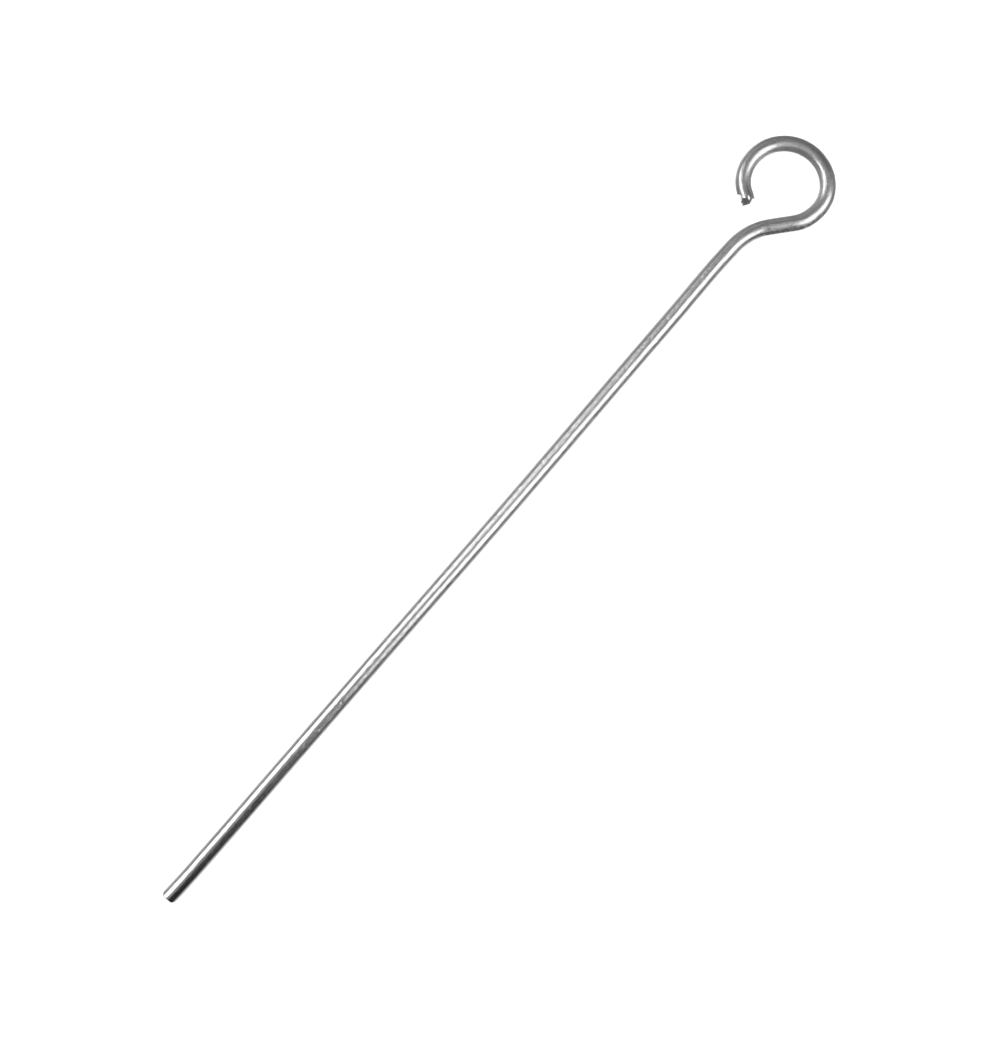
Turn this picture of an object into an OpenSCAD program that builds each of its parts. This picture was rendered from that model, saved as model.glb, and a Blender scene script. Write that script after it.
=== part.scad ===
// Tilt wire: one length of bright round steel wire with a straight shank and an open eye.
// The wire lies flat. X runs along the shank towards the eye, Z is up, and the origin is
// the centre of the eye, halfway through the wire. All sizes are in millimetres.

/* [Wire] */
// Diameter of the wire
wire_d = 2.0; // [1.6:0.1:2.4]
// Diameter left in the tight bends, where bending has drawn the wire thinner
bend_d = 1.98; // [1.5:0.01:2.38]
// Length over all, from the foot of the shank to the crown of the eye
overall_len = 127.2; // [90:0.1:180]

/* [Neck] */
// Radius of the neck bend, to the middle of the wire
neck_r = 7.75; // [6:0.25:9]
// Angle through which the neck turns away from the shank
neck_turn = 40.4; // [36:0.2:44]

/* [Eye] */
// Radius of the first bend of the eye, next to the neck
start_r = 4.9; // [4.6:0.1:5.4]
// Angle of the first bend
start_turn = 105; // [100:1:110]
// Radius of the crown, the far side of the eye
crown_r = 5.6; // [5.2:0.1:6]
// Angle of the crown
crown_turn = 104; // [95:1:108]
// Radius of the last bend, which brings the tip round towards the neck
end_r = 4.75; // [4.5:0.05:5.2]
// Angle of the last bend
end_turn = 68.8; // [55:0.2:72]

/* [Foot of the shank] */
// How far the sheared foot is from square
foot_skew = 0.5; // [0:0.5:8]
// Depth of the bevel that the shear left on the short side of the foot
foot_bevel = 0.35; // [0.1:0.05:0.6]
// Depth of the bevel on the long side of the foot
foot_corner = 0.35; // [0.1:0.05:0.6]

/* [Pinched tip] */
// Length of the straight tip past the last bend
tip_len = 1.65; // [1.4:0.05:2.2]
// Length of the outer notch that the cutters left
notch_len = 1.4; // [1:0.05:1.4]
// Depth of that notch at its shoulder
notch_depth = 0.54; // [0.3:0.02:0.6]
// Angle at which the floor of the notch rises towards the tip
notch_rise = 13; // [5:1:20]
// Length of the slanting cut on the inner side of the tip
nick_len = 0.55; // [0.3:0.05:0.8]
// Depth of that cut at its shoulder
nick_depth = 0.3; // [0.15:0.05:0.4]
// Angle of that cut to the wire
nick_angle = 46; // [35:1:55]
// Length of the slope that falls over the tip from the upper side
slope_len = 0.6; // [0.5:0.05:1]
// How far that slope is turned towards the outer side of the tip
slope_lean = 35; // [0:5:40]
// Length of the shorter slope on the lower side
under_len = 0.5; // [0.2:0.05:0.6]
// Angle of both slopes to the wire
slope_angle = 48; // [40:1:60]

/* [Tool marks] */
// How many teeth of the bending tool bit into the neck
tooth_count = 5; // [1:1:5]
// Distance from one bite to the next
tooth_pitch = 0.65; // [0.6:0.05:0.7]
// Depth of a bite
tooth_depth = 0.07; // [0.03:0.01:0.1]
// Radius of a tooth
tooth_r = 0.25; // [0.2:0.05:0.3]
// How far the first bite lies back from the straight part of the neck
tooth_back = 0.45; // [0.35:0.05:0.45]
// How far round from the top of the wire the bites lie
tooth_angle = 55; // [40:1:90]

/* [Hidden] */
$fn = 64;
wire_r = wire_d / 2;

// Bends run this many degrees on into the full wire at both of their ends.
bend_lap = 2;
// Size of the blocks that make the planar cuts
block = 3 * wire_d;

// A place on the wire's centreline is [x, y, heading in degrees].

// The place reached from p by a bend, which turns left where turn is positive
function bent(p, r, turn) =
    let (side = sign(turn), heading = p[2] + turn)
    [
        p[0] + side * r * (sin(heading) - sin(p[2])),
        p[1] - side * r * (cos(heading) - cos(p[2])),
        heading
    ];

// The place from which a bend reaches p
function unbent(p, r, turn) = bent(p, -r, -turn);

// The place at a distance along the straight from p, or back from it where length is negative
function along(p, length) = [p[0] + length * cos(p[2]), p[1] + length * sin(p[2]), p[2]];

// The crown's own centre is the centre of the eye, and the origin.
crown_heading = start_turn - neck_turn;
crown_place = [crown_r * sin(crown_heading), -crown_r * cos(crown_heading), crown_heading];
end_place = bent(crown_place, crown_r, crown_turn);
tip_place = bent(end_place, end_r, end_turn);

// The straight part of the neck is as long as it must be for the shank to point at the eye's centre.
start_place = unbent(crown_place, start_r, start_turn);
neck_drop = neck_r * (1 - cos(neck_turn));
neck_run = (-start_place[1] - neck_drop) / sin(neck_turn);
neck_run_place = along(start_place, -neck_run);
neck_place = unbent(neck_run_place, neck_r, -neck_turn);

foot_x = crown_r + wire_r - overall_len;
shank_len = neck_place[0] - foot_x;

// Puts its children at a place on the centreline, heading along +X
module at(p) {
    translate([p[0], p[1], 0]) rotate([0, 0, p[2]]) children();
}

// A straight run of wire along +X
module run(length) {
    rotate([0, 90, 0]) cylinder(h = length, d = wire_d);
}

// A bend that leaves the origin along +X and turns left, or right where turn is negative
module bend(r, turn, d = bend_d, lap = bend_lap) {
    side = sign(turn);
    first = min(0, turn) - lap;
    translate([0, side * r, 0])
        rotate([0, 0, first - side * 90])
            rotate_extrude(angle = abs(turn) + 2 * lap)
                translate([r, 0])
                    circle(d = d);
}

// A cutting block that fills the space beyond its face, which passes through the origin
module cutter() {
    translate([0, -block / 2, -block / 2]) cube(block);
}

// The shank, with its foot sheared off and bevelled on both sides
module shank() {
    short_x = foot_x + wire_d * tan(foot_skew);
    difference() {
        translate([foot_x, 0, 0]) run(shank_len);
        translate([foot_x, -wire_r, 0]) rotate([0, 0, 180 - foot_skew]) cutter();
        translate([short_x + foot_bevel, wire_r, 0]) rotate([0, 0, 135]) cutter();
        translate([foot_x + foot_corner, -wire_r, 0]) rotate([0, 0, 225]) cutter();
    }
}

// One bite: a tooth that lay across the wire, on the upper outer side of the neck
module bite() {
    rotate([tooth_angle, 0, 0])
        translate([0, 0, wire_r + tooth_r - tooth_depth])
            rotate([90, 0, 0])
                cylinder(h = wire_d, r = tooth_r, center = true);
}

// The neck: a bend away from the shank and a short straight, with the row of bites
module neck() {
    difference() {
        union() {
            at(neck_place) bend(neck_r, -neck_turn);
            at(neck_run_place) run(neck_run);
        }
        for (i = [0 : tooth_count - 1])
            at(along(neck_run_place, i * tooth_pitch - tooth_back)) bite();
    }
}

// The eye, bent three times the same way
module eye() {
    at(start_place) bend(start_r, start_turn);
    at(crown_place) bend(crown_r, crown_turn, wire_d, 0);
    at(end_place) bend(end_r, end_turn);
}

// The straight tip, pinched off by cutters: notched on the outer side, cut at a slant on the
// inner side, which is +Y here, and sloped from above and below
module pinched_tip() {
    notch_floor = notch_depth - wire_r;
    difference() {
        run(tip_len);
        translate([tip_len - notch_len, notch_floor, 0])
            rotate([0, 0, -notch_rise])
                translate([0, -block, -block / 2])
                    cube(block);
        translate([tip_len - nick_len, wire_r - nick_depth, 0])
            rotate([0, 0, -nick_angle])
                translate([0, 0, -block / 2])
                    cube(block);
        translate([tip_len - slope_len, 0, wire_r])
            rotate([0, slope_angle - 90, -slope_lean])
                cutter();
        translate([tip_len - under_len, 0, -wire_r]) rotate([0, 90 - slope_angle, 0]) cutter();
    }
}

module tilt_wire() {
    color([0.68, 0.69, 0.70]) {
        shank();
        neck();
        eye();
        at(tip_place) pinched_tip();
    }
}

tilt_wire();
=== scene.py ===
"""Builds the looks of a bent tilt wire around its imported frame.

The wire is made the way the real one is. A straight blank is cut to length, a shear leaves its
mark on the foot and pinching cutters on the tip, a toothed tool bites the neck, and four bends
form the neck and the eye. The blank is plain mesh code, and Geometry Nodes do the biting and
bending. Lengths are in Blender's metres, with MM for those that are written in millimetres.
"""

import logging
import math
from collections.abc import Callable, Iterable
from dataclasses import dataclass, field
from enum import Enum
from typing import Any

import bmesh
import bpy
import numpy as np
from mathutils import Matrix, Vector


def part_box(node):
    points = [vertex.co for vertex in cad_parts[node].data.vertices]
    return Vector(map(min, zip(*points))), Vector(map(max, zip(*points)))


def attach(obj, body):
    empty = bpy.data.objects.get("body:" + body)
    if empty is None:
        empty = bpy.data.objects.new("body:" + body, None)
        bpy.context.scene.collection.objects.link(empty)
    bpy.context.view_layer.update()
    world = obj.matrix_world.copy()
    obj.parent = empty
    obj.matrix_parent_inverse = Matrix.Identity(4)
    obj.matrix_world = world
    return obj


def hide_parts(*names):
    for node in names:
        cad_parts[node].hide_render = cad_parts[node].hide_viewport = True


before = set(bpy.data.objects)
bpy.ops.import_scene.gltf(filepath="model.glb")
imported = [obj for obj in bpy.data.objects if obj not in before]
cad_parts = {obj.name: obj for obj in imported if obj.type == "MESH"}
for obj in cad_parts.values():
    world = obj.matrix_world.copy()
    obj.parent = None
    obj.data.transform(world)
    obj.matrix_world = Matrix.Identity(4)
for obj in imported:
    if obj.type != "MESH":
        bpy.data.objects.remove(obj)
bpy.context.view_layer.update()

log = logging.getLogger("tilt_wire")

MM = 0.001
WIRE_NODE = "tilt_wire"
WELD = 0.0002 * MM
SHARP_ANGLE = math.radians(38)

# Names of what the wire's mesh carries for the bending tree and the materials
DRAWN = "drawn"
# The work and scuff marks also carry painted shade: a strip past the bite row over the neck's highlight, and
# a patch on the crown over its reflection
WORK_AND_SHADE = "worked"
SCUFFS_AND_SHADE = "scuffed"
STRETCHED = "stretched"
SUNK = "sunk"
CUT = "cut"

Tree = bpy.types.NodeTree
Socket = bpy.types.NodeSocket
Thing = bpy.types.Object
Array = np.ndarray
Pair = tuple[float, float]
Knots = list[Pair]
Colour = tuple[float, float, float, float]
# What an input of a node takes: a Term, or a plain value
Feed = Any


def put(name: str, data: bpy.types.ID) -> Thing:
    """Puts a new object into the scene.

    Args:
        name: The object's name.
        data: Its mesh, light or camera.

    Returns:
        The object.
    """
    thing = bpy.data.objects.new(name, data)
    bpy.context.scene.collection.objects.link(thing)
    return thing


class Kind(Enum):
    """The kinds of value that a node group takes in or gives out."""

    NUMBER = "NodeSocketFloat"
    COUNT = "NodeSocketInt"
    VECTOR = "NodeSocketVector"
    MATERIAL = "NodeSocketMaterial"
    SHAPE = "NodeSocketGeometry"


class TreeKind(Enum):
    """The kinds of tree that a node group is made for."""

    GEOMETRY = "GeometryNodeTree"
    SHADER = "ShaderNodeTree"


@dataclass(frozen=True)
class Ease:
    """An easing from start to end while another value rises from low to high."""

    low: float
    high: float
    start: float = 0.0
    end: float = 1.0


class Term:
    """What a node gives, made so that the sums on it are written as sums."""

    def __init__(self, sheet: "Sheet", socket: Socket) -> None:
        """Takes a node's output, and the sheet that its sums are done on."""
        self.sheet = sheet
        self.socket = socket

    def __add__(self, other: Feed) -> "Term":
        """Adds another number."""
        return self.sheet.sum("ADD", self, other)

    def __sub__(self, other: Feed) -> "Term":
        """Takes another number away."""
        return self.sheet.sum("SUBTRACT", self, other)

    def __rsub__(self, other: Feed) -> "Term":
        """Takes this away from another number."""
        return self.sheet.sum("SUBTRACT", other, self)

    def __mul__(self, other: Feed) -> "Term":
        """Multiplies by another number."""
        return self.sheet.sum("MULTIPLY", self, other)

    def __truediv__(self, other: Feed) -> "Term":
        """Divides by another number."""
        return self.sheet.sum("DIVIDE", self, other)

    def __abs__(self) -> "Term":
        """Drops the sign."""
        return self.sheet.sum("ABSOLUTE", self)

    __radd__ = __add__
    __rmul__ = __mul__

    def at_least(self, low: Feed) -> "Term":
        """Gives the larger of this and another number."""
        return self.sheet.sum("MAXIMUM", self, low)

    def at_most(self, high: Feed) -> "Term":
        """Gives the smaller of this and another number."""
        return self.sheet.sum("MINIMUM", self, high)

    def ease(self, ease: Ease, unit: Feed = 1.0) -> "Term":
        """Eases from one value to another while this number rises.

        Args:
            ease: The easing.
            unit: What its low and high are counted in.

        Returns:
            The eased value.
        """
        return self.sheet.get("Result", "ShaderNodeMapRange", {"interpolation_type": "SMOOTHSTEP"},
                              Value=self, From_Min=unit * ease.low, From_Max=unit * ease.high,
                              To_Min=ease.start, To_Max=ease.end)


class Sheet:
    """A node tree that is written like the sums it does."""

    def __init__(self, tree: Tree) -> None:
        """Starts on the tree that the nodes go into."""
        self.tree = tree

    @classmethod
    def fresh(cls, owner: bpy.types.Material | bpy.types.Light | bpy.types.World) -> "Sheet":
        """Starts on the emptied tree of a material, a light or a world.

        Args:
            owner: What the tree belongs to.

        Returns:
            The sheet.
        """
        owner.use_nodes = True
        owner.node_tree.nodes.clear()
        return cls(owner.node_tree)

    @classmethod
    def group(cls, name: str, kind: TreeKind, takes: dict[str, Kind], gives: dict[str, Kind]) -> "Sheet":
        """Makes a node group with named inputs and outputs.

        Args:
            name: The group's name.
            kind: The kind of tree that it is.
            takes: The inputs' names and kinds, in order.
            gives: The outputs' names and kinds, in order.

        Returns:
            The sheet of the new group.
        """
        tree = bpy.data.node_groups.new(name, kind.value)
        for way, ends in (("INPUT", takes), ("OUTPUT", gives)):
            for label, end in ends.items():
                tree.interface.new_socket(label, in_out=way, socket_type=end.value)
        return cls(tree)

    def inputs(self) -> dict[str, Term]:
        """Gives the group's inputs by name."""
        return {end.name: Term(self, end) for end in self.add("NodeGroupInput").outputs if end.name}

    def give(self, **values: Term) -> Tree:
        """Feeds the group's outputs, which finishes the group.

        Args:
            values: What the outputs take, by name.

        Returns:
            The group.
        """
        self.add("NodeGroupOutput", **values)
        return self.tree

    @staticmethod
    def find(sockets: Iterable[Socket], label: str) -> Socket:
        """Finds the socket in use with a name, for which the label may have underscores for spaces."""
        return next(end for end in sockets if end.enabled and end.name == label.replace("_", " "))

    def add(self, kind: str, settings: dict[str, Any] | None = None, **feeds: Feed) -> bpy.types.Node:
        """Adds a node.

        Args:
            kind: Blender's name for the node.
            settings: The node's own settings.
            feeds: What its inputs take, by name, with underscores for spaces.

        Returns:
            The new node.
        """
        node = self.tree.nodes.new(kind)
        for label, value in (settings or {}).items():
            setattr(node, label, value)
        for label, value in feeds.items():
            self.feed(self.find(node.inputs, label), value)
        return node

    def get(self, output: str, kind: str, settings: dict[str, Any] | None = None, **feeds: Feed) -> Term:
        """Adds a node for one of its outputs.

        Args:
            output: The output's name.
            kind: As for add.
            settings: As for add.
            feeds: As for add.

        Returns:
            The output.
        """
        return Term(self, self.find(self.add(kind, settings, **feeds).outputs, output))

    def run(self, group: Tree, **feeds: Feed) -> dict[str, Term]:
        """Runs a node group.

        Args:
            group: The group.
            feeds: What its inputs take, by name.

        Returns:
            Its outputs, by name.
        """
        node = self.add(self.tree.bl_idname.replace("Tree", "Group"), {"node_tree": group}, **feeds)
        return {end.name: Term(self, end) for end in node.outputs}

    def feed(self, socket: Socket, value: Feed) -> None:
        """Links a socket to another, or sets it.

        Args:
            socket: The input to feed.
            value: The term it is linked to, or its plain value.
        """
        if isinstance(value, Term):
            self.tree.links.new(value.socket, socket)
        else:
            socket.default_value = value

    def sum(self, operation: str, *terms: Feed, vectors: bool = False) -> Term:
        """Does a sum on numbers, or on vectors.

        Args:
            operation: Blender's name for the sum.
            terms: What goes in.
            vectors: Whether it is done on vectors.

        Returns:
            The result.
        """
        node = self.add(f"ShaderNode{'Vector' if vectors else ''}Math", {"operation": operation})
        for socket, term in zip((end for end in node.inputs if end.enabled), terms):
            self.feed(socket, term)
        return Term(self, next(end for end in node.outputs if end.enabled))

    def noise(self, place: Feed, scale: Feed, detail: float, roughness: float) -> Term:
        """Gives a random value for each place that changes smoothly.

        Args:
            place: The place.
            scale: How many waves there are to a length of one.
            detail: How many finer waves are laid over the first.
            roughness: How strong the finer waves are.

        Returns:
            The value, which is about a half on average.
        """
        return self.get("Fac", "ShaderNodeTexNoise", {"noise_dimensions": "3D"}, Vector=place,
                        Scale=scale, Detail=detail, Roughness=roughness)

    def split(self, vector: Feed) -> tuple[Term, Term, Term]:
        """Takes a vector apart into its X, Y and Z."""
        node = self.add("ShaderNodeSeparateXYZ", Vector=vector)
        return tuple(Term(self, node.outputs[axis]) for axis in "XYZ")

    def join(self, x: Feed, y: Feed, z: Feed) -> Term:
        """Makes a vector of its X, Y and Z."""
        return self.get("Vector", "ShaderNodeCombineXYZ", X=x, Y=y, Z=z)


@dataclass(frozen=True)
class Bend:
    """One bend of the wire, measured to the middle of the wire.

    A positive turn goes left, seen from above, and a negative one goes right. The wire gets
    thinner by the share called thinning, and wider in the flat of the bend by the spread.
    """

    name: str
    radius: float
    turn: float
    thinning: float
    spread: float = 0.0

    @property
    def length(self) -> float:
        """The length of wire that the bend takes up."""
        return self.radius * abs(self.turn)


@dataclass
class Course:
    """The course of the wire: a straight shank, a neck and an open eye round the origin.

    The strays say how far this one wire lies to the left of that course, both along it and
    across it in millimetres, from the foot on. The eye's twist about the neck is only seen in
    what the metal mirrors.
    """

    wire_r: float
    foot_x: float
    tip_len: float = 1.65 * MM
    neck: Bend = Bend("Neck", 7.75 * MM, math.radians(-40.4), 0.01)
    start: Bend = Bend("Start", 4.9 * MM, math.radians(105), 0.014, 0.035)
    crown: Bend = Bend("Crown", 5.6 * MM, math.radians(104), 0.006)
    end: Bend = Bend("End", 4.75 * MM, math.radians(68.8), 0.014)
    twist: float = math.radians(8.5)
    tip_back: float = 0.13 * MM
    strays: Knots = field(default_factory=lambda: [
        (0, 0.18), (1.2, 0.12), (3, 0.065), (8, 0.02), (22, 0), (45, -0.06), (62, -0.12),
        (72, -0.115), (90, -0.005), (100, 0.03), (107, 0.1), (113, -0.025), (116.5, 0),
        (119.5, -0.005), (122, 0.055), (124.5, -0.015), (127, 0.005), (132, 0.005),
        (137, -0.015), (139.5, 0.03), (142, -0.02), (144, 0), (146, 0)])

    def bow(self, x: Array) -> Array:
        """Says how far the wire strays, with a smooth curve through the knots.

        Args:
            x: Places along the blank.

        Returns:
            The distance to the left at each place.
        """
        knots = np.array(self.strays) * MM
        place = knots[:, 0] + self.foot_x
        slope = np.gradient(knots[:, 1], place)
        left = np.clip(np.searchsorted(place, x) - 1, 0, len(place) - 2)
        span = place[left + 1] - place[left]
        share = np.clip((x - place[left]) / span, 0, 1)
        bend_in = share * (1 - share) ** 2 * span * slope[left]
        bend_out = share**2 * (share - 1) * span * slope[left + 1]
        ease = share**2 * (3 - 2 * share)
        return knots[left, 1] * (1 - ease) + knots[left + 1, 1] * ease + bend_in + bend_out

    @property
    def neck_drop(self) -> float:
        """How far the neck's bend takes the wire to the right."""
        return self.neck.radius * (1 - math.cos(self.neck.turn))

    @property
    def eye_start(self) -> Pair:
        """Where the start bend begins, once the wire is bent and the crown is round the origin.

        Returns:
            Its X and Y.
        """
        heading = self.start.turn + self.neck.turn
        wider = self.crown.radius - self.start.radius
        return (wider * math.sin(heading) + self.start.radius * math.sin(self.neck.turn),
                -wider * math.cos(heading) - self.start.radius * math.cos(self.neck.turn))

    @property
    def neck_run(self) -> float:
        """The straight of the neck, as long as it must be for the shank to point at the eye's centre."""
        return (self.eye_start[1] + self.neck_drop) / math.sin(self.neck.turn)

    @property
    def neck_x(self) -> float:
        """Where the shank ends and the neck starts."""
        run_x = self.eye_start[0] - self.neck_run * math.cos(self.neck.turn)
        return run_x + self.neck.radius * math.sin(self.neck.turn)

    @property
    def neck_end(self) -> tuple[float, float, float]:
        """Where the neck's bend ends and its straight starts, once the wire is bent."""
        return self.neck_x - self.neck.radius * math.sin(self.neck.turn), -self.neck_drop, 0.0

    @property
    def neck_run_x(self) -> float:
        """Where the straight of the neck starts on the blank."""
        return self.neck_x + self.neck.length

    def bends(self) -> list[tuple[Bend, float]]:
        """Lists the bends.

        Returns:
            Each bend with where it starts on the blank, from foot to tip.
        """
        start_x = self.neck_run_x + self.neck_run
        crown_x = start_x + self.start.length
        end_x = crown_x + self.crown.length
        return [(self.neck, self.neck_x), (self.start, start_x), (self.crown, crown_x), (self.end, end_x)]

    @property
    def tip_x(self) -> float:
        """Where the tip starts on the blank, just before the last bend ends."""
        last, start = self.bends()[-1]
        return start + last.length - self.tip_back


def ragged(places: Array, seed: int, size: float) -> Array:
    """Gives a smooth random relief.

    Args:
        places: One row of coordinates for each point.
        seed: The seed of the relief.
        size: The length of its largest waves.

    Returns:
        A height from about -1 to 1 for each point.
    """
    octaves, waves, fading, growth, usual_height = 4, 3, 0.6, 1.9, 1.8
    draw = np.random.default_rng(seed)
    height = np.zeros(len(places))
    weight_total = 0.0
    for octave in range(octaves):
        weight = fading**octave
        for _ in range(waves):
            direction = draw.normal(size=places.shape[1])
            direction /= np.linalg.norm(direction)
            wave = 2 * math.pi * growth**octave / size
            height += weight * np.sin(wave * (places @ direction) + draw.uniform(0, 2 * math.pi))
        weight_total += weight
    return height / (usual_height * weight_total)


def outline(knots: Knots, at: Array) -> Array:
    """Reads an outline of straight lines between knots, which are in millimetres.

    Args:
        knots: The outline's places and its values there.
        at: The places where it is read.

    Returns:
        The outline's value at each of them.
    """
    places, values = (np.array(knots) * MM).T
    return np.interp(at, places, values)


@dataclass
class ShearedFoot:
    """The foot of the shank: sheared nearly square, with a bevel on both sides and a rounded rim."""

    course: Course
    skew: float = math.radians(0.5)
    bevel: float = 0.35 * MM
    roll: float = 0.03 * MM
    rim: float = 0.07 * MM
    grain: float = 0.018 * MM
    grain_size: float = 0.7 * MM
    grain_edge: float = 0.12 * MM
    sheared_grain: float = 0.3
    torn_from: float = -0.2
    torn_over: float = 0.5
    seed: int = 11
    zone: float = 0.9 * MM

    def reach(self, y: Array, z: Array) -> Array:
        """Says where the metal ends.

        Args:
            y: Places across the wire.
            z: Heights.

        Returns:
            The X of the foot's face at each place.
        """
        wire_r = self.course.wire_r
        face = (y + wire_r) * math.tan(self.skew)
        short = 2 * wire_r * math.tan(self.skew)
        near_side = short + self.bevel + (y - wire_r)
        far_side = self.bevel - (y + wire_r)
        bevelled = np.logaddexp(np.logaddexp(face / self.roll, near_side / self.roll), far_side / self.roll)
        inset = wire_r - np.hypot(y, z)
        face = bevelled * self.roll + self.rim * np.clip(1 - inset / self.rim, 0, 1) ** 2
        torn = np.clip((y - self.torn_from * wire_r) / (self.torn_over * wire_r), 0, 1)
        relief = ragged(np.column_stack([y, z]), self.seed, self.grain_size)
        edge = np.clip(inset / self.grain_edge, 0, 1)
        roughened = face + self.grain * (self.sheared_grain + torn) * relief * edge
        return self.course.foot_x + np.maximum(roughened, 0.0)


@dataclass
class PinchedTip:
    """The tip of the eye, pinched off by cutters and torn.

    Its outlines are seen from above and in millimetres: along the wire from where the tip
    starts, and across it with the outer side of the eye negative. The notch says how far
    across it reaches for places along, and the inner side and the slope's lean say how far
    along they reach for places across.
    """

    course: Course
    notch: Knots = field(default_factory=lambda: [
        (0.0, -1.12), (0.05, -1.08), (0.10, -0.86), (0.24, -0.46), (1.01, -0.64), (1.12, -0.82),
        (1.19, -0.83), (1.33, -0.60), (1.60, -0.77), (1.72, -0.78)])
    inner: Knots = field(default_factory=lambda: [
        (-1.1, 1.60), (-0.74, 1.66), (0.2, 1.66), (0.50, 1.34), (0.70, 1.10), (0.86, 1.12), (1.01, 1.24)])
    lean: Knots = field(default_factory=lambda: [(-0.6, -0.22), (0.17, 0.25), (0.46, 0.0), (0.8, 0.0)])
    slope_len: float = 0.86 * MM
    under_len: float = 0.5 * MM
    slope_angle: float = math.radians(48)
    chip_slope: float = math.radians(22)
    chip_start: float = 0.56 * MM
    chip_y: float = 0.28 * MM
    chip_half: float = 0.1 * MM
    chip_lean: float = 0.64
    chip_flare: float = 3.0
    burr: float = 0.06 * MM
    burr_fade: float = 0.09 * MM
    burr_from: float = 0.55
    burr_gain: float = 2.0
    grain: float = 0.03 * MM
    grain_size: float = 0.55 * MM
    seed: int = 23
    zone: float = 0.5 * MM

    def chip(self, y: Array, z: Array) -> Array:
        """Says where the bright chip between the slope and the inner side cuts the metal off.

        Args:
            y: Places across the wire.
            z: Heights.

        Returns:
            The distance from where the tip starts at each place.
        """
        fall = (self.course.wire_r - z) / math.tan(self.chip_slope)
        face = self.chip_start + fall - self.chip_lean * (y - self.chip_y)
        return face + self.chip_flare * np.maximum(0, np.abs(y - self.chip_y) - self.chip_half)

    def reach(self, y: Array, z: Array) -> Array:
        """Says where the metal ends.

        Args:
            y: Places across the wire.
            z: Heights.

        Returns:
            The X of the tip's faces at each place.
        """
        wire_r = self.course.wire_r
        tip_len = self.course.tip_len
        relief = ragged(np.column_stack([y, z]), self.seed, self.grain_size)
        steep = math.tan(self.slope_angle)
        above = tip_len - self.slope_len + (wire_r - z) / steep + outline(self.lean, y)
        below = tip_len - self.under_len + (wire_r + z) / steep
        end = np.minimum(np.minimum(outline(self.inner, y), above), np.minimum(below, self.chip(y, z)))
        return self.course.tip_x + end + self.grain * relief


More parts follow.
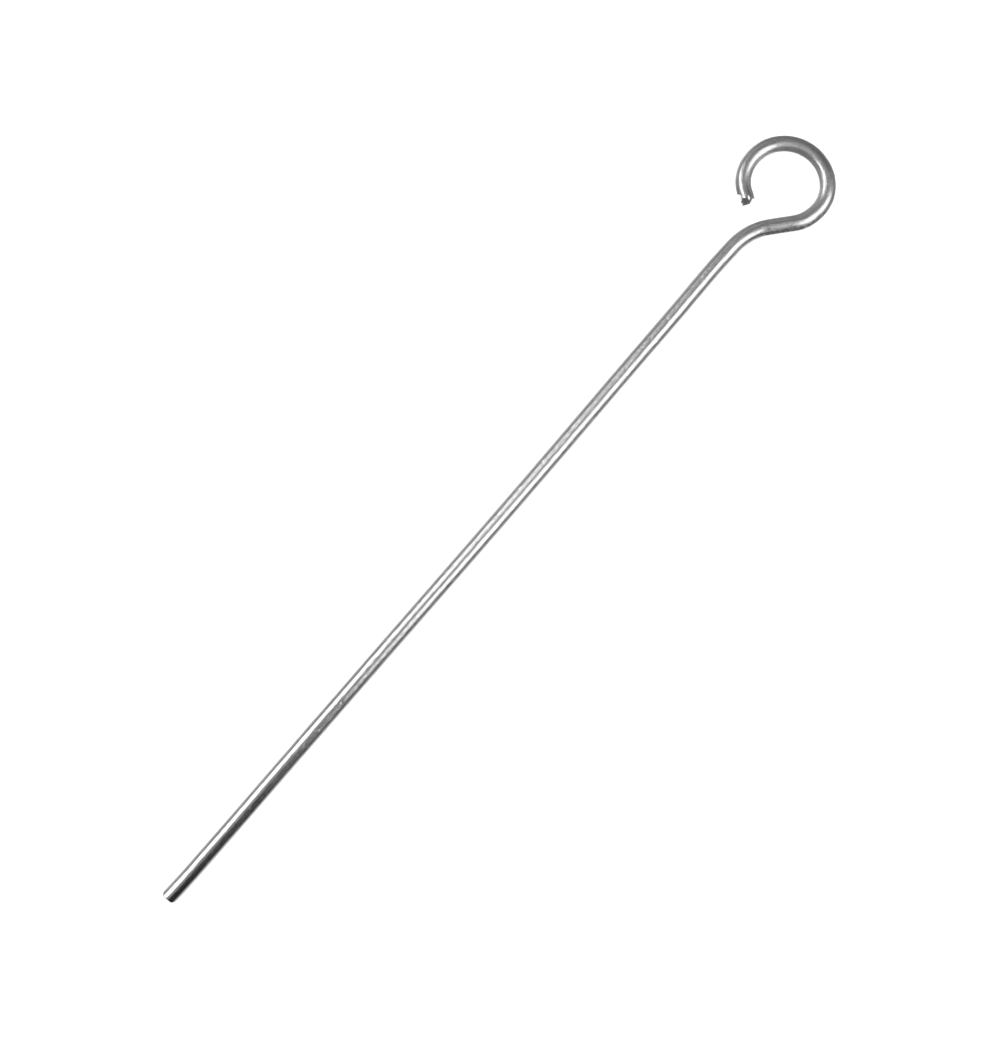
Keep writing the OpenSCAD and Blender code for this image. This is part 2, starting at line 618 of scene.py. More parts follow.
@dataclass
class Blank:
    """The straight wire before it is bent, with both of its ends already cut.

    The rings of the tip stand closer, every tip_gap over a length of tip_rows, which are both
    in millimetres.
    """

    course: Course
    foot: ShearedFoot
    tip: PinchedTip
    sides: int = 96
    coarse_step: float = 0.6 * MM
    bend_step: float = 0.11 * MM
    bite_step: float = 0.035 * MM
    foot_count: int = 24
    lead_count: int = 14
    tip_rows: float = 1.7
    tip_gap: float = 0.03
    settling: int = 6
    cap_rings: int = 18
    chip_band: float = 0.03 * MM
    cut_depth: float = 0.02 * MM

    def circle(self) -> tuple[Array, Array]:
        """Gives the Y and Z of the points round a plain section."""
        angle = np.arange(self.sides) * 2 * math.pi / self.sides
        return self.course.wire_r * np.cos(angle), self.course.wire_r * np.sin(angle)

    def stations(self, bitten: Pair) -> Array:
        """Spaces the rings of points along the blank, closer where the shape is finer.

        Args:
            bitten: The start and the end of the stretch that the toothed tool bit.

        Returns:
            The X of each ring between the two cut ends.
        """
        first = self.course.foot_x + self.foot.zone
        last = self.course.tip_x - self.tip.zone
        marks = [first, self.course.neck_x - self.coarse_step, *bitten, last]
        steps = [self.coarse_step, self.bend_step, self.bite_step, self.bend_step]
        runs = []
        for start, stop, step in zip(marks, marks[1:], steps):
            runs.append(np.linspace(start, stop, max(2, round((stop - start) / step)), endpoint=False))
        return np.concatenate([*runs, [last]])

    def foot_rings(self) -> list[Array]:
        """Makes the rings from the foot's face up to the plain wire.

        Returns:
            The rings.
        """
        y, z = self.circle()
        face = self.foot.reach(y, z)
        plain = self.course.foot_x + self.foot.zone
        shares = np.linspace(0, 1, self.foot_count, endpoint=False)
        return [np.column_stack([face + (plain - face) * share, y, z]) for share in shares]

    def tip_rings(self) -> list[Array]:
        """Makes the rings from the plain wire to the tip's faces, with the notch cut into them.

        Returns:
            The rings.
        """
        y, z = self.circle()
        tip, wire_r, tip_x = self.tip, self.course.wire_r, self.course.tip_x
        lead = np.linspace(-tip.zone, 0, self.lead_count)[1:-1]
        fine = np.arange(0.0, self.tip_rows, self.tip_gap) * MM
        knots = [along * MM for along, _ in tip.notch]
        end_y = y.copy()
        for _ in range(self.settling):
            end = tip.reach(end_y, z) - tip_x
            end_y = np.maximum(y, outline(tip.notch, end))
        rings = []
        for along in np.unique(np.concatenate([lead, fine, knots])):
            here = np.minimum(along, end)
            lip = tip.burr * np.exp(-((here / tip.burr_fade) ** 2))
            outer = np.clip(-y / wire_r - tip.burr_from, 0, 1) * tip.burr_gain
            cut_y = np.maximum(y * (1 + lip * outer / wire_r), outline(tip.notch, here))
            rings.append(np.column_stack([tip_x + here, cut_y, z]))
        rings.append(np.column_stack([tip_x + end, end_y, z]))
        return rings

    def cap(self, rim: Array, reach: Callable[[Array, Array], Array]) -> list[Array]:
        """Makes the rings that close an end, from its rim inwards.

        Args:
            rim: The ring of points at the edge of the end.
            reach: Where the metal ends at each place of the section.

        Returns:
            The rings inside the rim, and the middle point as the last.
        """
        middle = rim[:, 1:].mean(axis=0)
        rings = []
        for k in range(1, self.cap_rings):
            spot = middle + (rim[:, 1:] - middle) * (1 - k / self.cap_rings)
            rings.append(np.column_stack([reach(spot[:, 0], spot[:, 1]), spot]))
        rings.append(np.array([[reach(middle[:1], middle[1:])[0], *middle]]))
        return rings

    def mesh(self, bitten: Pair) -> bpy.types.Mesh:
        """Makes the closed mesh of the blank.

        Args:
            bitten: The start and the end of the stretch that needs the finest rings.

        Returns:
            The mesh, with the cut faces marked.
        """
        y, z = self.circle()
        plain = [np.column_stack([np.full(self.sides, x), y, z]) for x in self.stations(bitten)]
        tube = self.foot_rings() + plain + self.tip_rings()
        foot_cap = self.cap(tube[0], self.foot.reach)
        tip_cap = self.cap(tube[-1], self.tip.reach)
        rings = foot_cap[-2::-1] + tube + tip_cap[:-1]
        points = np.concatenate([*rings, foot_cap[-1], tip_cap[-1]])
        points[:, 1] += self.course.bow(points[:, 0])
        n = self.sides
        top, foot_middle = (len(rings) - 1) * n, len(rings) * n
        pairs = [(side, (side + 1) % n) for side in range(n)]
        faces = [(low + side, low + after, low + n + after, low + n + side)
                 for low in range(0, top, n) for side, after in pairs]
        for side, after in pairs:
            faces += [(foot_middle, after, side), (foot_middle + 1, top + side, top + after)]
        mesh = bpy.data.meshes.new("blank")
        mesh.from_pydata(points.tolist(), [], faces)
        self.tidy(mesh)
        self.mark_cut(mesh)
        return mesh

    @staticmethod
    def tidy(mesh: bpy.types.Mesh) -> None:
        """Merges points that meet and turns all faces outwards.

        Args:
            mesh: The mesh to tidy.
        """
        work = bmesh.new()
        work.from_mesh(mesh)
        bmesh.ops.remove_doubles(work, verts=work.verts, dist=WELD)
        bmesh.ops.dissolve_degenerate(work, edges=work.edges, dist=WELD)
        bmesh.ops.recalc_face_normals(work, faces=work.faces)
        open_edges = sum(not edge.is_manifold for edge in work.edges)
        log.info("blank: %d points, %d faces, %d open edges, %.2f mm3", len(work.verts), len(work.faces),
                 open_edges, work.calc_volume() / MM**3)
        work.to_mesh(mesh)
        work.free()

    def mark_cut(self, mesh: bpy.types.Mesh) -> None:
        """Marks the faces that the cutters made, apart from the bright chip.

        Args:
            mesh: The blank's mesh.
        """
        x, y, z = np.array([face.center for face in mesh.polygons]).T
        depth = self.course.wire_r - np.hypot(y - self.course.bow(x), z)
        chipped = np.abs(x - self.course.tip_x - self.tip.chip(y, z)) < self.chip_band
        mark = mesh.attributes.new(CUT, "BOOLEAN", "FACE")
        mark.data.foreach_set("value", (depth > self.cut_depth) & ~chipped)


@dataclass
class BiteRow:
    """The bites that the toothed bending tool left on the outer side of the neck, and its scuffs.

    In the easings, heights count in wire radii towards the tool, places along the row in
    pitches and distances from a tooth in tooth radii. Those called ragged go by an uneven
    value from 0 to 1 that changes from place to place. Those of the pressed depth and of the
    painted shade on the crown go by plain lengths, and the crown's place is counted from the foot.
    The rub past the row is a rubbed strip that is also painted shade over part of the neck's
    highlight band, and the crown's patch is painted shade that darkens its reflection.
    """

    course: Course
    count: int = 5
    pitch: float = 0.65 * MM
    depth: float = 0.075 * MM
    tooth_radius: float = 0.25 * MM
    back: float = 0.45 * MM
    angle: float = math.radians(60)
    lip: float = 0.022 * MM
    seed: int = 5
    least_bite: float = 0.35
    deepest_bite: float = 1.25
    upright_bite: float = 0.8
    leaning: float = 0.5
    uneven_scale: float = 2.6 / MM
    ragged_depth: Ease = Ease(0.3, 0.7, 0.3, 1.5)
    lip_height: Ease = Ease(0.86, 0.99)
    lip_rise: Ease = Ease(0.6, 0.95)
    lip_fall: Ease = Ease(0.95, 1.3, 1.0, 0.0)
    pressed_work: Ease = Ease(0.0, 0.02 * MM)
    before_row: Ease = Ease(-1.3, 0.0)
    after_row: Ease = Ease(0.0, 1.3, 1.0, 0.0)
    row_height: Ease = Ease(0.88, 0.99)
    ragged_row: Ease = Ease(0.3, 0.65, 0.25, 0.9)
    # The rub past the row: a rubbed strip that is also painted shade, darkening part of the neck's highlight
    # band
    rub_shade_start: Ease = Ease(-1.0, 0.0)
    rub_shade_growth: Ease = Ease(0.0, 3.0, 0.4, 1.0)
    rub_shade_end: Ease = Ease(6.0, 12.0, 1.0, 0.0)
    rub_shade_height: Ease = Ease(0.76, 0.88)
    ragged_rub_shade: Ease = Ease(0.35, 0.65, 0.35, 0.75)
    scuff_start: Ease = Ease(-1.8, 0.4)
    scuff_end: Ease = Ease(1.0, 4.2, 1.0, 0.0)
    scuff_height: Ease = Ease(-0.1, 0.5)
    scuff_stray: float = 3.0
    # A patch of painted shade on the crown, which darkens and dulls its reflection
    crown_shade_place: float = 133.3 * MM
    crown_shade_start: Ease = Ease(-4.5 * MM, -1.0 * MM)
    crown_shade_end: Ease = Ease(1.0 * MM, 4.0 * MM, 1.0, 0.0)
    crown_shade_share: float = 0.85

    @property
    def first(self) -> float:
        """Where the first bite lies on the blank."""
        return self.course.neck_run_x - self.back

    def stretch(self) -> Pair:
        """Gives the start and the end of the bitten stretch on the blank."""
        return self.first - self.pitch, self.first + self.count * self.pitch


class BendingTree:
    """The Geometry Nodes tree that bites the blank and bends it."""

    bend_labels = ("Start", "Radius", "Turn")
    bite_labels = ("First", "Pitch", "Depth", "Tooth Radius", "Angle", "Lip", "Count", "Seed")

    def __init__(self, course: Course, bites: BiteRow) -> None:
        """Builds the tree.

        Args:
            course: The course that the wire takes.
            bites: The bites on its neck.
        """
        self.course = course
        self.bites = bites
        self.values = self.list_values()
        self.thin_group = self.make_thin_group()
        self.bend_group = self.make_bend_group()
        self.bite_group = self.make_bite_group()
        self.tree = self.make_tree()

    def list_values(self) -> dict[str, float | int | tuple[float, float, float]]:
        """Lists what the tree's inputs are set to.

        Returns:
            The values by the inputs' names.
        """
        course, bites = self.course, self.bites
        values = {
            "Wire Radius": course.wire_r, "Bite First": bites.first, "Bite Pitch": bites.pitch,
            "Bite Depth": bites.depth, "Bite Tooth Radius": bites.tooth_radius,
            "Bite Angle": bites.angle, "Bite Lip": bites.lip, "Bite Count": bites.count,
            "Bite Seed": bites.seed, "Crown Scuff": course.foot_x + bites.crown_shade_place,
            "Bend Ease": course.wire_r, "Eye Twist": course.twist, "Neck End": course.neck_end}
        for bend, start in course.bends():
            values |= {f"{bend.name} Start": start, f"{bend.name} Radius": bend.radius,
                       f"{bend.name} Turn": bend.turn, f"{bend.name} Thinning": bend.thinning,
                       f"{bend.name} Spread": bend.spread}
        return values

    @classmethod
    def make_thin_group(cls) -> Tree:
        """Makes the group that says how far one bend changes the wire's section at each place.

        Returns:
            The group.
        """
        takes = dict.fromkeys(("Along", *cls.bend_labels, "Change", "Ease"), Kind.NUMBER)
        sheet = Sheet.group("thinning", TreeKind.GEOMETRY, takes, {"Share": Kind.NUMBER})
        at = sheet.inputs()
        start, ease = at["Start"], at["Ease"]
        stop = start + at["Radius"] * abs(at["Turn"])
        entering = (at["Along"] - start).ease(Ease(-1.0, 1.0), ease)
        leaving = (at["Along"] - stop).ease(Ease(-1.0, 1.0, 1.0, 0.0), ease)
        return sheet.give(Share=at["Change"] * entering * leaving)

    @classmethod
    def make_bend_group(cls) -> Tree:
        """Makes the group that bends a wire lying along X, and takes all beyond the bend with it.

        Along is each point's place on the straight blank, so that a point that an earlier bend
        has brought back beside this one still counts as beyond it.

        Returns:
            The group.
        """
        takes = {"Position": Kind.VECTOR} | dict.fromkeys(("Along", *cls.bend_labels), Kind.NUMBER)
        sheet = Sheet.group("bend", TreeKind.GEOMETRY, takes, {"Position": Kind.VECTOR})
        at = sheet.inputs()
        start = at["Start"]
        x, y, z = sheet.split(at["Position"])
        side_radius = sheet.sum("SIGN", at["Turn"]) * at["Radius"]
        length = at["Radius"] * abs(at["Turn"])
        bent = (at["Along"] - start).at_least(0.0).at_most(length)
        straight = x - start - bent
        heading = bent / side_radius
        sine = sheet.sum("SINE", heading)
        cosine = sheet.sum("COSINE", heading)
        from_centre = side_radius - y
        new_x = start + sine * from_centre + straight * cosine
        new_y = side_radius - cosine * from_centre + straight * sine
        return sheet.give(Position=sheet.join(new_x, new_y, z))

    def make_bite_group(self) -> Tree:
        """Makes the group that presses a row of round teeth into a wire lying along X and scuffs it, and
        gives where painted shade darkens part of the neck's highlight past the row and the crown's
        reflection.

        Returns:
            The group.
        """
        bites = self.bites
        numbers = dict.fromkeys(("Wire Radius", "Crown Scuff", *self.bite_labels), Kind.NUMBER)
        takes = {"Position": Kind.VECTOR} | numbers | {"Count": Kind.COUNT, "Seed": Kind.COUNT}
        gives = {"Position": Kind.VECTOR, "Worked": Kind.NUMBER, "Scuffed": Kind.NUMBER}
        sheet = Sheet.group("bite_row", TreeKind.GEOMETRY, takes, gives)
        at = sheet.inputs()
        wire_r, pitch, tooth_r = at["Wire Radius"], at["Pitch"], at["Tooth Radius"]
        x, y, z = sheet.split(at["Position"])
        out_y = sheet.sum("SINE", at["Angle"]) * -1.0
        out_z = sheet.sum("COSINE", at["Angle"])
        height = y * out_y + z * out_z
        sideways = y * out_z - z * out_y
        from_first = x - at["First"]
        last = at["Count"] - 1.0
        tooth = sheet.sum("ROUND", from_first / pitch).at_least(0.0).at_most(last)
        share = sheet.get("Value", "FunctionNodeRandomValue", {"data_type": "FLOAT"}, ID=tooth,
                          Seed=at["Seed"], Min=bites.least_bite, Max=bites.deepest_bite)
        uneven = sheet.noise(at["Position"], bites.uneven_scale, detail=5.0, roughness=0.62)
        depth = at["Depth"] * share * uneven.ease(bites.ragged_depth)
        lean = (share - bites.upright_bite) * sideways * bites.leaning
        apart = from_first - tooth * pitch + lean
        inside = tooth_r * tooth_r - apart * apart
        sag = tooth_r - sheet.sum("SQRT", inside.at_least(0.0))
        pressed = (height - (wire_r - depth + sag)).at_least(0.0)
        distance = abs(apart)
        ridge = distance.ease(bites.lip_rise, tooth_r) * distance.ease(bites.lip_fall, tooth_r)
        raised = at["Lip"] * height.ease(bites.lip_height, wire_r) * ridge * share
        move = sheet.sum("SCALE", sheet.join(0.0, out_y, out_z), raised - pressed, vectors=True)
        past_row = from_first - last * pitch
        in_row = (from_first.ease(bites.before_row, pitch) * past_row.ease(bites.after_row, pitch)
                  * height.ease(bites.row_height, wire_r) * uneven.ease(bites.ragged_row))
        # A rubbed strip past the row, which is also painted shade over part of the neck's highlight band
        rub_and_shade = (past_row.ease(bites.rub_shade_start, pitch) * past_row.ease(bites.rub_shade_growth, pitch)
                  * past_row.ease(bites.rub_shade_end, pitch) * height.ease(bites.rub_shade_height, wire_r)
                  * uneven.ease(bites.ragged_rub_shade))
        scraped_and_shaded = rub_and_shade.at_least(pressed.ease(bites.pressed_work))
        stray = (uneven - 0.5) * pitch * bites.scuff_stray
        scuffed = ((from_first + stray).ease(bites.scuff_start, pitch)
                   * (past_row + stray).ease(bites.scuff_end, pitch)
                   * height.ease(bites.scuff_height, wire_r))
        # A patch of painted shade on the crown, which darkens its reflection, goes out with the scuffs
        past_crown_shade = x - at["Crown Scuff"]
        crown_shade = past_crown_shade.ease(bites.crown_shade_start) * past_crown_shade.ease(bites.crown_shade_end)
        return sheet.give(Position=sheet.sum("ADD", at["Position"], move, vectors=True),
                          Worked=in_row.at_least(scraped_and_shaded),
                          Scuffed=scuffed.at_least(crown_shade * bites.crown_shade_share))

    def make_tree(self) -> Tree:
        """Makes the whole tree: marks the blank, bites it, bends it and gives it its metals.

        Returns:
            The tree.
        """
        kinds = {float: Kind.NUMBER, int: Kind.COUNT, tuple: Kind.VECTOR}
        takes = {"Blank": Kind.SHAPE} | {label: kinds[type(value)] for label, value in self.values.items()}
        takes |= {"Skin": Kind.MATERIAL, "Cut Metal": Kind.MATERIAL}
        sheet = Sheet.group("bend_blank", TreeKind.GEOMETRY, takes, {"Wire": Kind.SHAPE})
        at = sheet.inputs()
        place = sheet.get("Position", "GeometryNodeInputPosition")
        bite = sheet.run(self.bite_group, Position=place, Wire_Radius=at["Wire Radius"],
                         Crown_Scuff=at["Crown Scuff"],
                         **{label: at[f"Bite {label}"] for label in self.bite_labels})
        drawn, is_cut = (
            sheet.get("Attribute", "GeometryNodeInputNamedAttribute", {"data_type": kind}, Name=name)
            for name, kind in ((DRAWN, "FLOAT_VECTOR"), (CUT, "BOOLEAN")))
        along = sheet.split(drawn)[0]
        middle = sheet.join(along, 0.0, 0.0)
        thickness, width = 1.0, 1.0
        sizes = {bend.name: {label: at[f"{bend.name} {label}"] for label in self.bend_labels}
                 for bend, _ in self.course.bends()}
        for name, size in sizes.items():
            thinned, spread = (
                sheet.run(self.thin_group, Along=along, Ease=at["Bend Ease"], Change=at[f"{name} {label}"],
                          **size)["Share"] for label in ("Thinning", "Spread"))
            thickness = thickness * (1.0 - thinned)
            width = width * (1.0 + spread)
        section = sheet.join(1.0, thickness * width, thickness)
        moves = [bite["Position"], sheet.sum("MULTIPLY", place, section, vectors=True)]
        for size in reversed(sizes.values()):
            middle = sheet.run(self.bend_group, Position=middle, Along=along, **size)["Position"]
            moves.append(sheet.run(self.bend_group, Position=place, Along=along, **size)["Position"])
        beside_neck = sheet.join(sheet.sum("SINE", at["Neck Turn"]) * -1.0,
                                 sheet.sum("COSINE", at["Neck Turn"]), 0.0)
        from_neck = sheet.sum("SUBTRACT", middle, at["Neck End"], vectors=True)
        aside = sheet.sum("DOT_PRODUCT", from_neck, beside_neck, vectors=True)
        sunk = sheet.sum("SINE", at["Eye Twist"]) * aside.at_least(0.0)
        marks = {DRAWN: place, WORK_AND_SHADE: bite["Worked"], SCUFFS_AND_SHADE: bite["Scuffed"],
                 STRETCHED: 1.0 - thickness, SUNK: sunk}
        steps = [("StoreNamedAttribute", {"data_type": "FLOAT_VECTOR" if name == DRAWN else "FLOAT"},
                  {"Name": name, "Value": value}) for name, value in marks.items()]
        steps += [("SetPosition", {}, {"Position": move}) for move in moves]
        steps += [("SetShadeSmooth", {}, {"Shade Smooth": True}), ("RealizeInstances", {}, {}),
                  ("SetMaterial", {}, {"Material": at["Skin"]}),
                  ("SetMaterial", {}, {"Material": at["Cut Metal"], "Selection": is_cut})]
        shape = at["Blank"]
        for kind, settings, feeds in steps:
            shape = sheet.get("Geometry", f"GeometryNode{kind}", settings, Geometry=shape, **feeds)
        return sheet.give(Wire=shape)

    def bend(self, name: str, blank: bpy.types.Mesh, skin: bpy.types.Material,
             cut_metal: bpy.types.Material) -> Thing:
        """Runs the tree on a blank and keeps the result as a plain mesh.

        Args:
            name: The finished piece's name.
            blank: The straight blank's mesh.
            skin: The metal of the drawn surface.
            cut_metal: The metal of the cut faces.

        Returns:
            The finished piece, in the scene.
        """
        work = put("blank", blank)
        modifier = work.modifiers.new("bending", "NODES")
        modifier.node_group = self.tree
        given = {**self.values, "Skin": skin, "Cut Metal": cut_metal}
        for socket in self.tree.interface.items_tree:
            if socket.in_out == "INPUT" and socket.name in given:
                modifier[socket.identifier] = given[socket.name]
        bpy.context.view_layer.update()
        graph = bpy.context.evaluated_depsgraph_get()
        mesh = bpy.data.meshes.new_from_object(work.evaluated_get(graph), preserve_all_data_layers=True,
                                               depsgraph=graph)
        bpy.data.objects.remove(work)
        mesh.name = name
        mesh.set_sharp_from_angle(angle=SHARP_ANGLE)
        return put(name, mesh)


class SurfaceGroups:
    """Shader node groups for effects that both metals use."""

    def __init__(self) -> None:
        """Builds the groups."""
        self.lines = self.make_lines()
        self.grime = self.make_grime()
        self.dimples = self.make_dimples()

    @staticmethod
    def start(name: str, gives: str, detail: float, roughness: float) -> tuple[Sheet, Term]:
        """Starts a group on a noise that is drawn out along the wire.

        Args:
            name: The group's name.
            gives: The name of its output.
            detail: How many finer waves the noise has.
            roughness: How strong they are.

        Returns:
            The group's sheet and the noise.
        """
        takes = {"Place": Kind.VECTOR, "Length": Kind.NUMBER, "Width": Kind.NUMBER}
        sheet = Sheet.group(name, TreeKind.SHADER, takes, {gives: Kind.NUMBER})
        at = sheet.inputs()
        x, y, z = sheet.split(at["Place"])
        squeezed = sheet.join(x / at["Length"], y / at["Width"], z / at["Width"])
        return sheet, sheet.noise(squeezed, 1.0, detail=detail, roughness=roughness)

    def make_lines(self) -> Tree:
        """Makes fine lines that run along the wire, as drawing it through a die leaves them."""
        sheet, noise = self.start("die_lines", "Lines", detail=3.0, roughness=0.6)
        return sheet.give(Lines=noise)

    def make_dimples(self) -> Tree:
        """Makes scattered shallow dimples, a little longer than they are wide."""
        sheet, noise = self.start("dimples", "Dimples", detail=1.0, roughness=0.5)
        return sheet.give(Dimples=noise.ease(Ease(0.5, 0.72)))

    @staticmethod
    def make_grime() -> Tree:
        """Makes patches where the metal is duller, and specks of dirt in what the tools left.

        Returns:
            The group.
        """
        clean, spread, fade = 0.72, 0.45, Ease(0.0, 0.22)
        takes = {"Place": Kind.VECTOR, "Patch": Kind.NUMBER, "Amount": Kind.NUMBER}
        sheet = Sheet.group("grime", TreeKind.SHADER, takes, {"Dirt": Kind.NUMBER})
        at = sheet.inputs()
        scale = sheet.sum("DIVIDE", 1.0, at["Patch"])
        noise = sheet.noise(at["Place"], scale, detail=5.0, roughness=0.62)
        return sheet.give(Dirt=(noise - (clean - at["Amount"] * spread)).ease(fade))


class Metal(Enum):
    """The two metals that show on the wire."""

    DRAWN_STEEL = "drawn_steel"
    TORN_STEEL = "torn_steel"


@dataclass(frozen=True)
class SteelFinish:
    """The finish of bare steel, drawn through a die or torn by cutters.

    The lines come fine and broad, and the sizes of the broad ones are counted in those of the
    fine ones. A value such as dirt_by_work_and_shade says how much dirt comes with the tool's work. The
    work and scuff marks also carry painted shade past the neck's bite row and on the crown, so
    the dirt and dulling that go with them paint that shade there too.
    """

    metal: Metal
    bright: Colour
    dull: Colour
    smooth: float
    rough: float
    line_length: float
    line_width: float
    line_height: float
    wave_height: float
    dimple_length: float
    dimple_width: float
    dimple_depth: float
    patch: float
    dirt: float
    matting: float
    broad_length: float = 3.0
    broad_width: float = 5.0
    broad_height: float = 2.0
    wave_length: float = 5.0 * MM
    wave_width: float = 1.4 * MM
    dirt_depth: float = 0.01 * MM
    # Dirt and dulling by the work and scuff marks also paint shade where those marks carry it
    dirt_by_work_and_shade: float = 0.7
    dirt_by_scuffs_and_shade: float = 0.15
    dull_by_lines: float = 0.25
    dull_by_dirt: float = 0.6
    dull_by_work_and_shade: float = 0.3
    dull_by_scuffs_and_shade: float = 0.35
    matt_by_scuffs: float = 0.22
    dimples_by_scuffs: float = 2.5
    streaks: Ease = Ease(0.38, 0.66)

    def build(self, groups: SurfaceGroups) -> bpy.types.Material:
        """Makes the material.

        Args:
            groups: The effects that the metals share.

        Returns:
            The material.
        """
        material = bpy.data.materials.new(self.metal.value)
        sheet = Sheet.fresh(material)
        place = sheet.get("Vector", "ShaderNodeAttribute", {"attribute_name": DRAWN})
        worked, scuffed, stretched, sunk = (
            sheet.get("Fac", "ShaderNodeAttribute", {"attribute_name": name})
            for name in (WORK_AND_SHADE, SCUFFS_AND_SHADE, STRETCHED, SUNK))
        fine, broad, waves = (
            sheet.run(groups.lines, Place=place, Length=length, Width=width)["Lines"]
            for length, width in ((self.line_length, self.line_width),
                                  (self.line_length * self.broad_length, self.line_width * self.broad_width),
                                  (self.wave_length, self.wave_width)))
        dimples = sheet.run(groups.dimples, Place=place, Length=self.dimple_length,
                            Width=self.dimple_width)["Dimples"]
        # The work and scuff marks carry painted shade past the bite row and on the crown, so the dirt and
        # dulling from them paint that shade
        amount = self.dirt + worked * self.dirt_by_work_and_shade + scuffed * self.dirt_by_scuffs_and_shade
        dirt = sheet.run(groups.grime, Place=place, Patch=self.patch, Amount=amount)["Dirt"]
        streak = (fine * 0.5 + broad * 0.5).ease(self.streaks)
        dulled = (streak * self.dull_by_lines + dirt * self.dull_by_dirt + worked * self.dull_by_work_and_shade
                  + scuffed * self.dull_by_scuffs_and_shade).at_most(1.0)
        shade = sheet.get("Result", "ShaderNodeMix", {"data_type": "RGBA"}, Factor=dulled,
                          A=self.bright, B=self.dull)
        matted = (stretched * self.matting).at_least(scuffed * self.matt_by_scuffs)
        roughness = self.smooth + matted + dulled * (self.rough - self.smooth)
        pits = dimples * (1.0 + scuffed * self.dimples_by_scuffs) * self.dimple_depth
        height = (fine * self.line_height - sunk + broad * (self.line_height * self.broad_height)
                  + waves * self.wave_height - pits - dirt * worked * self.dirt_depth)
        normal = sheet.get("Normal", "ShaderNodeBump", Strength=1.0, Distance=1.0, Height=height)
        shader = sheet.get("BSDF", "ShaderNodeBsdfPrincipled", Base_Color=shade, Metallic=1.0,
                           Roughness=roughness, Normal=normal)
        sheet.add("ShaderNodeOutputMaterial", Surface=shader)
        return material


DRAWN_FINISH = SteelFinish(
    metal=Metal.DRAWN_STEEL,
    bright=(0.8, 0.8, 0.805, 1.0),
    dull=(0.34, 0.34, 0.345, 1.0),
    smooth=0.14,
    rough=0.42,
    line_length=3.0 * MM,
    line_width=0.05 * MM,
    line_height=0.0006 * MM,
    wave_height=0.04 * MM,
    dimple_length=0.8 * MM,
    dimple_width=0.2 * MM,
    dimple_depth=0.007 * MM,
    patch=0.9 * MM,
    dirt=0.3,
    matting=7.0,
)

TORN_FINISH = SteelFinish(
    metal=Metal.TORN_STEEL,
    bright=(0.52, 0.52, 0.525, 1.0),
    dull=(0.16, 0.16, 0.165, 1.0),
    smooth=0.34,
    rough=0.6,
    line_length=0.05 * MM,
    line_width=0.05 * MM,
    line_height=0.004 * MM,
    wave_height=0.01 * MM,
    dimple_length=0.12 * MM,
    dimple_width=0.12 * MM,
    dimple_depth=0.012 * MM,
    patch=0.3 * MM,
    dirt=0.45,
    matting=0.0,
)


@dataclass(frozen=True)
class Edge:
    """A soft edge across a light: the glow rises from none at dark to full at full.

    Both are distances in millimetres from the point that the camera stands over, along a
    level line that is turned by slant degrees from the shank's direction.
    """

    slant: float
    dark: float
    full: float

    def share(self, sheet: Sheet, along: Term, across: Term) -> Term:
        """Says what share of the glow the edge leaves at each place.

        Args:
            sheet: The sheet to work on.
            along: The place along the shank.
            across: The place across it.

        Returns:
            The share.
        """
        slant = math.radians(self.slant)
        place = along * math.cos(slant) + across * math.sin(slant)
        low, high = sorted((self.dark, self.full))
        ends = (0.0, 1.0) if self.dark < self.full else (1.0, 0.0)
        return place.ease(Ease(low, high, *ends))


@dataclass(frozen=True)
class Softbox:
    """A flat light that lies level over the wire and faces down.

    Its place is given beside the wire and in millimetres, from the point that the camera
    stands over: along the shank towards the eye, and across it with the left side positive.
    It is either seen in the metal only, or lights the floor only.
    """

    name: str
    along: Pair
    across: Pair
    height: float
    radiance: float
    edges: tuple[Edge, ...] = ()
    for_floor: bool = False

    def build(self, centre: Pair) -> None:
        """Puts the light into the scene.

        Args:
            centre: The point on the floor that the camera stands over.
        """
        light = bpy.data.lights.new(self.name, "AREA")
        light.shape = "RECTANGLE"
        light.size, light.size_y = ((stop - start) * MM for start, stop in (self.along, self.across))
        light.energy = self.radiance * math.pi * light.size * light.size_y
        if self.edges:
            self.soften(light)
        lamp = put(self.name, light)
        spot = (sum(self.along) / 2, sum(self.across) / 2)
        lamp.location = (centre[0] + spot[0] * MM, centre[1] + spot[1] * MM, self.height * MM)
        lamp.visible_camera = False
        lamp.visible_glossy = not self.for_floor
        lamp.visible_diffuse = self.for_floor

    def soften(self, light: bpy.types.Light) -> None:
        """Gives the light its soft edges.

        Args:
            light: The light.
        """
        sheet = Sheet.fresh(light)
        faces = sheet.split(sheet.get("Parametric", "ShaderNodeNewGeometry"))
        along, across = (face * (stop - start) + start
                         for face, (start, stop) in zip(faces, (self.along, self.across)))
        strength = 1.0
        for edge in self.edges:
            strength = strength * edge.share(sheet, along, across)
        glow = sheet.get("Emission", "ShaderNodeEmission", Strength=strength)
        sheet.add("ShaderNodeOutputLight", Surface=glow)


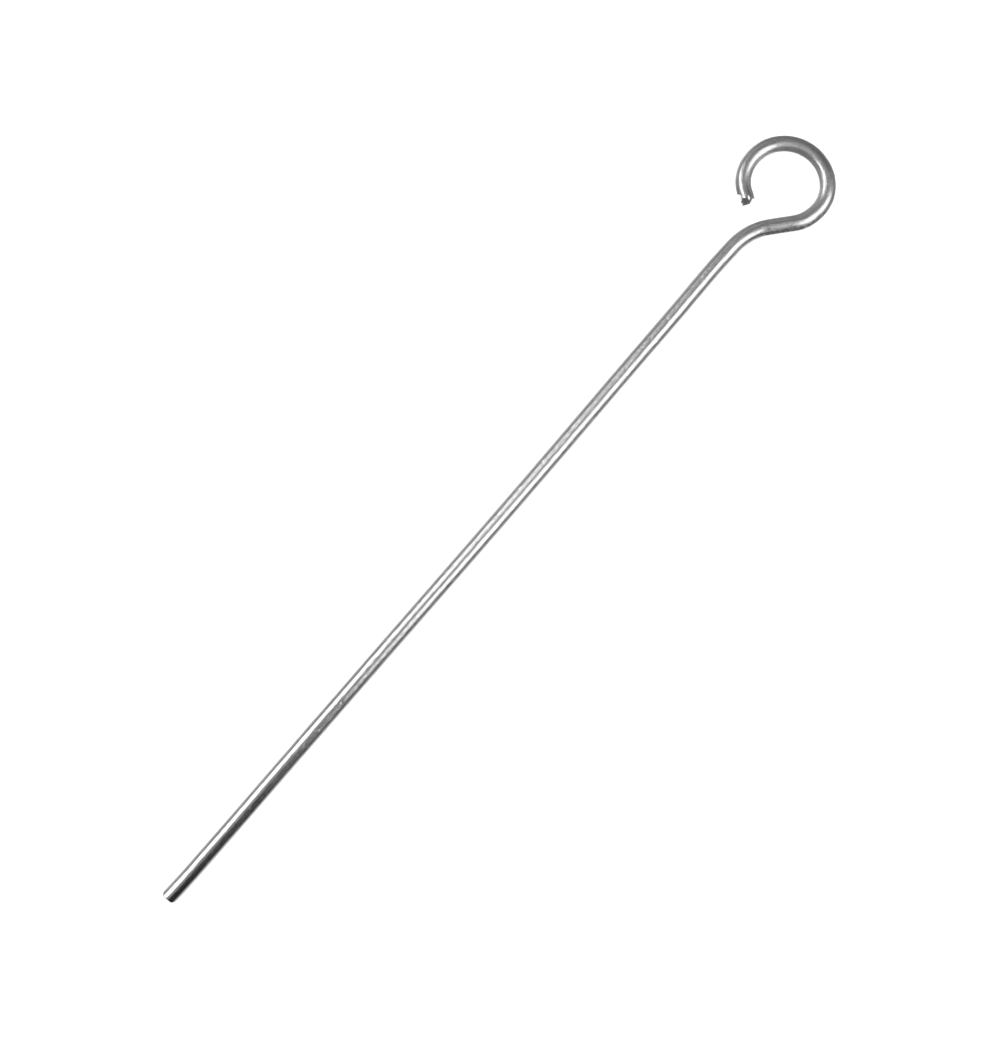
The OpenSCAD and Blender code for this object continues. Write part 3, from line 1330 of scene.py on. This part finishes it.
# Three softboxes and three faint glows that the metal mirrors as bands, and the floor's own light
LIGHTS = (
    Softbox("left_softbox", along=(-600, 500), across=(220, 2500), height=670, radiance=1.5,
            edges=(Edge(slant=0, dark=117, full=-68), Edge(slant=85, dark=258, full=272))),
    Softbox("right_softbox", along=(-60, 400), across=(-325, -47), height=185, radiance=1.5,
            edges=(Edge(slant=0, dark=-43, full=-27), Edge(slant=-45, dark=9, full=29),
                   Edge(slant=33, dark=165, full=63))),
    Softbox("neck_softbox", along=(40, 240), across=(-43, 30), height=185, radiance=1.5,
            edges=(Edge(slant=-62, dark=38, full=65), Edge(slant=0, dark=112, full=102))),
    Softbox("overhead_glow", along=(-75, 37), across=(-29, 34), height=185, radiance=0.22,
            edges=(Edge(slant=0, dark=-45, full=2),)),
    Softbox("left_glow", along=(-500, 300), across=(76, 1700), height=60, radiance=0.19),
    Softbox("right_glow", along=(-110, 500), across=(-1700, -88), height=60, radiance=0.44,
            edges=(Edge(slant=0, dark=-75, full=0),)),
    Softbox("ceiling_light", along=(-900, 900), across=(-900, 900), height=1300, radiance=5.2,
            for_floor=True),
)


@dataclass
class Studio:
    """The floor, the lights, the surroundings and the camera."""

    course: Course
    image: tuple[int, int] = (1000, 1046)
    pixel: float = 0.128 * MM
    eye_pixel: Pair = (784.5, 187.3)
    shank_slope: float = math.radians(49.15)
    lens: float = 180.0
    sensor: float = 36.0
    clip_end: float = 10.0
    floor_half: float = 3.0
    floor_tone: Colour = (0.86, 0.86, 0.86, 1.0)
    room_level: float = 0.13
    overhead_level: float = 0.17
    overhead_focus: float = 3.0
    table_height: Ease = Ease(-0.5, 0.02, 0.42, 0.0)
    table_sides: Ease = Ease(0.84, 0.97, 0.45, 1.0)
    gloom_level: float = 0.9
    gloom_side: Ease = Ease(0.7, 0.93)
    gloom_distance: Ease = Ease(0.1, 0.4)
    gloom_height: Ease = Ease(-0.35, -0.1)
    straight_up: float = 0.001

    @property
    def centre(self) -> Pair:
        """The point of the floor that the photograph's middle shows.

        Returns:
            Its X and Y.
        """
        right = (self.eye_pixel[0] - self.image[0] / 2) * self.pixel
        up = (self.image[1] / 2 - self.eye_pixel[1]) * self.pixel
        cosine, sine = math.cos(self.shank_slope), math.sin(self.shank_slope)
        return -right * cosine - up * sine, right * sine - up * cosine

    def camera(self) -> None:
        """Puts the camera straight above, as the photograph was taken."""
        lens = bpy.data.cameras.new("camera")
        lens.lens = self.lens
        lens.sensor_width = self.sensor
        lens.clip_end = self.clip_end
        stand = put("camera", lens)
        distance = max(self.image) * self.pixel * self.lens / self.sensor
        stand.location = (*self.centre, distance)
        stand.rotation_euler = (0.0, 0.0, -self.shank_slope)
        bpy.context.scene.camera = stand

    def floor(self) -> None:
        """Lays the pale floor under the wire."""
        half, level = self.floor_half, -self.course.wire_r
        corners = [(x * half, y * half, level) for x, y in ((-1, -1), (1, -1), (1, 1), (-1, 1))]
        mesh = bpy.data.meshes.new("floor")
        mesh.from_pydata(corners, [], [(0, 1, 2, 3)])
        material = bpy.data.materials.new("pale_floor")
        material.use_nodes = True
        shader = material.node_tree.nodes["Principled BSDF"]
        shader.inputs["Base Color"].default_value = self.floor_tone
        shader.inputs["Roughness"].default_value = 1.0
        shader.inputs["Specular IOR Level"].default_value = 0.0
        mesh.materials.append(material)
        ground = put("floor", mesh)
        ground.visible_glossy = False

    def surroundings(self) -> None:
        """Makes the room that the metal mirrors, round a white ground that only the camera sees.

        It is dim at the level of the horizon, a little brighter overhead and brightest at the
        pale table below, less so along the wire. To the right of the wire it is nearly black,
        from just below the horizon up.
        """
        world = bpy.data.worlds.new("room")
        sheet = Sheet.fresh(world)
        x, y, up = sheet.split(sheet.get("Generated", "ShaderNodeTexCoord"))
        overhead = sheet.sum("POWER", up.at_least(0.0), self.overhead_focus) * self.overhead_level
        level = sheet.sum("SQRT", x * x + y * y)
        rightward = y * -1.0 / level.at_least(self.straight_up)
        table = up.ease(self.table_height) * abs(rightward).ease(self.table_sides)
        gloom = (rightward.ease(self.gloom_side) * level.ease(self.gloom_distance)
                 * up.ease(self.gloom_height))
        glow = (self.room_level + overhead + table) * (1.0 - gloom * self.gloom_level)
        for_camera = sheet.get("Is Camera Ray", "ShaderNodeLightPath")
        sky = sheet.get("Background", "ShaderNodeBackground", Color=(1.0, 1.0, 1.0, 1.0),
                        Strength=glow.at_least(for_camera))
        sheet.add("ShaderNodeOutputWorld", Surface=sky)
        bpy.context.scene.world = world

    def build(self) -> None:
        """Sets the whole studio up."""
        self.camera()
        self.floor()
        self.surroundings()
        for softbox in LIGHTS:
            softbox.build(self.centre)
        bpy.context.scene.view_settings.view_transform = "Standard"


def build_wire(course: Course) -> None:
    """Makes the wire, dresses it and ties it to the frame.

    Args:
        course: The course that the wire takes.
    """
    bites = BiteRow(course)
    blank = Blank(course, ShearedFoot(course), PinchedTip(course))
    groups = SurfaceGroups()
    skin = DRAWN_FINISH.build(groups)
    cut_metal = TORN_FINISH.build(groups)
    wire = BendingTree(course, bites).bend("bent_wire", blank.mesh(bites.stretch()), skin, cut_metal)
    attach(wire, "root")
    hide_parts(WIRE_NODE)
    log.info("%s: %d points, %d faces", wire.name, len(wire.data.vertices), len(wire.data.polygons))


def main() -> None:
    """Builds the studio and the wire, sized by the wire's box in the imported frame."""
    logging.basicConfig(level=logging.INFO, format="%(name)s: %(message)s")
    low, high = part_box(WIRE_NODE)
    course = Course(wire_r=high.z, foot_x=low.x)
    Studio(course).build()
    build_wire(course)
    bpy.context.view_layer.update()


if __name__ == "__main__":
    main()
